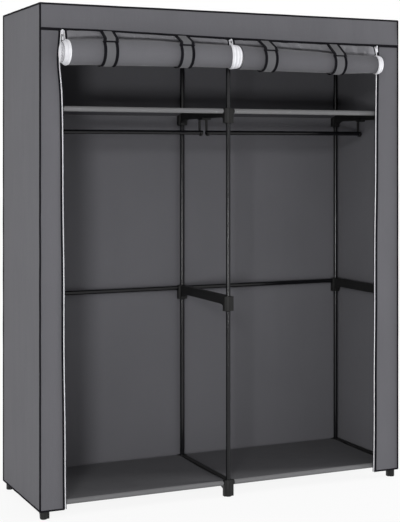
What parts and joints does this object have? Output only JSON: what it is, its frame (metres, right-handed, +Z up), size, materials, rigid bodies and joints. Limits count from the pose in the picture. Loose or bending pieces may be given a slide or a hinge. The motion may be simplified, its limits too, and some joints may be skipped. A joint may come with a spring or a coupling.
{
  "type": "portable fabric wardrobe",
  "caption": "Free-standing wardrobe of steel tubes and moulded arms with cloth shelves, hanging rails and a zipped cloth cover whose front doors roll up.",
  "frame": {"origin": "on the floor under the middle of the whole part, rolled doors included", "axes": "+Z up, +X to the right seen from the front, the front faces -Y"},
  "size_m": [1.41, 0.5636, 1.73],
  "materials": {
    "black_plastic": "moulded black plastic with a fine grain",
    "black_steel": "black powder coat, half gloss",
    "shelf_fabric": "dark grey non-woven cloth",
    "cover_fabric": "grey non-woven cloth, lightly creased",
    "door_fabric": "grey non-woven cloth, rolled up",
    "strap_webbing": "grey cloth strap with black bound edges",
    "white_zip": "white moulded zip parts"
  },
  "bodies": {
    "root": {"bottom_arm_left": "black_plastic", "bottom_arm_centre": "black_plastic", "bottom_arm_right": "black_plastic", "middle_arm_left": "black_plastic", "middle_arm_centre": "black_plastic", "middle_arm_right": "black_plastic", "shelf_arm_left": "black_plastic", "shelf_arm_centre": "black_plastic", "shelf_arm_right": "black_plastic", "top_arm_left": "black_plastic", "top_arm_centre": "black_plastic", "top_arm_right": "black_plastic", "lower_post_front_left": "black_steel", "lower_post_back_left": "black_steel", "lower_post_front_centre": "black_steel", "lower_post_back_centre": "black_steel", "lower_post_front_right": "black_steel", "lower_post_back_right": "black_steel", "middle_post_front_left": "black_steel", "middle_post_back_left": "black_steel", "middle_post_front_centre": "black_steel", "middle_post_back_centre": "black_steel", "middle_post_front_right": "black_steel", "middle_post_back_right": "black_steel", "upper_post_front_left": "black_steel", "upper_post_back_left": "black_steel", "upper_post_front_centre": "black_steel", "upper_post_back_centre": "black_steel", "upper_post_front_right": "black_steel", "upper_post_back_right": "black_steel", "middle_back_tube_left": "black_steel", "top_front_tube_left": "black_steel", "top_back_tube_left": "black_steel", "middle_back_tube_right": "black_steel", "top_front_tube_right": "black_steel", "top_back_tube_right": "black_steel", "bottom_shelf_left": "shelf_fabric", "bottom_shelf_right": "shelf_fabric", "upper_shelf_left": "shelf_fabric", "upper_shelf_right": "shelf_fabric", "cover_left": "cover_fabric", "cover_right": "cover_fabric", "cover_back": "cover_fabric", "cover_top": "cover_fabric"},
    "left_door": {"door_sheet_left": "door_fabric"},
    "right_door": {"door_sheet_right": "door_fabric"},
    "left_roll": {"door_roll_left": "door_fabric"},
    "right_roll": {"door_roll_right": "door_fabric"},
    "strap_tab_1": {"strap_tab_1": "strap_webbing"},
    "strap_tab_2": {"strap_tab_2": "strap_webbing"},
    "strap_tab_3": {"strap_tab_3": "strap_webbing"},
    "strap_tab_4": {"strap_tab_4": "strap_webbing"},
    "left_slider": {"zip_slider_left": "white_zip"},
    "left_pull": {"zip_pull_left": "white_zip"},
    "centre_slider": {"zip_slider_centre": "white_zip"},
    "centre_pull": {"zip_pull_centre": "white_zip"},
    "right_slider": {"zip_slider_right": "white_zip"},
    "right_pull": {"zip_pull_right": "white_zip"},
    "left_rail": {"hanging_rail_left": "black_steel"},
    "right_rail": {"hanging_rail_right": "black_steel"}
  },
  "joints": [
    {"name": "left_door_unroll", "type": "slide", "parent": "root", "child": "left_door", "axis": [0, 0, -1], "range_m": [0, 1.475], "deforming": ["door_sheet_left"]},
    {"name": "left_roll_spin", "type": "hinge", "parent": "left_door", "child": "left_roll", "pos_m": [-0.323, -0.23216, 1.568], "axis": [1, 0, 0], "range_deg": [0, 1900]},
    {"name": "right_door_unroll", "type": "slide", "parent": "root", "child": "right_door", "axis": [0, 0, -1], "range_m": [0, 1.475], "deforming": ["door_sheet_right"]},
    {"name": "right_roll_spin", "type": "hinge", "parent": "right_door", "child": "right_roll", "pos_m": [0.294, -0.22666, 1.557], "axis": [1, 0, 0], "range_deg": [0, 2200]},
    {"name": "strap_tab_1_lift", "type": "hinge", "parent": "root", "child": "strap_tab_1", "pos_m": [-0.4829, -0.16946, 1.645], "axis": [-1, 0, 0], "range_deg": [0, 100]},
    {"name": "strap_tab_2_lift", "type": "hinge", "parent": "root", "child": "strap_tab_2", "pos_m": [-0.2098, -0.16946, 1.645], "axis": [-1, 0, 0], "range_deg": [0, 100]},
    {"name": "strap_tab_3_lift", "type": "hinge", "parent": "root", "child": "strap_tab_3", "pos_m": [0.1143, -0.16946, 1.645], "axis": [-1, 0, 0], "range_deg": [0, 100]},
    {"name": "strap_tab_4_lift", "type": "hinge", "parent": "root", "child": "strap_tab_4", "pos_m": [0.3982, -0.16946, 1.645], "axis": [-1, 0, 0], "range_deg": [0, 100]},
    {"name": "left_zip_slide", "type": "slide", "parent": "root", "child": "left_slider", "axis": [0.0093, 0, -1], "range_m": [0, 1.59]},
    {"name": "left_pull_swing", "type": "hinge", "parent": "left_slider", "child": "left_pull", "pos_m": [-0.628, -0.17496, 1.63303], "axis": [-1, 0, 0], "range_deg": [0, 165]},
    {"name": "centre_zip_slide", "type": "slide", "parent": "root", "child": "centre_slider", "axis": [0, 0, -1], "range_m": [0, 1.59]},
    {"name": "centre_pull_swing", "type": "hinge", "parent": "centre_slider", "child": "centre_pull", "pos_m": [0, -0.17496, 1.63303], "axis": [-1, 0, 0], "range_deg": [0, 165]},
    {"name": "right_zip_slide", "type": "slide", "parent": "root", "child": "right_slider", "axis": [-0.0074, 0, -1], "range_m": [0, 1.59]},
    {"name": "right_pull_swing", "type": "hinge", "parent": "right_slider", "child": "right_pull", "pos_m": [0.608, -0.17496, 1.63303], "axis": [-1, 0, 0], "range_deg": [0, 165]},
    {"name": "left_rail_lift", "type": "slide", "parent": "root", "child": "left_rail", "axis": [0, 0, 1], "range_m": [0, 0.02]},
    {"name": "right_rail_lift", "type": "slide", "parent": "root", "child": "right_rail", "axis": [0, 0, 1], "range_m": [0, 0.02]}
  ],
  "couplings": [
    {"joint": "left_roll_spin", "follows": "left_door_unroll", "rad_per_m": 21.7},
    {"joint": "right_roll_spin", "follows": "right_door_unroll", "rad_per_m": 25.6}
  ]
}
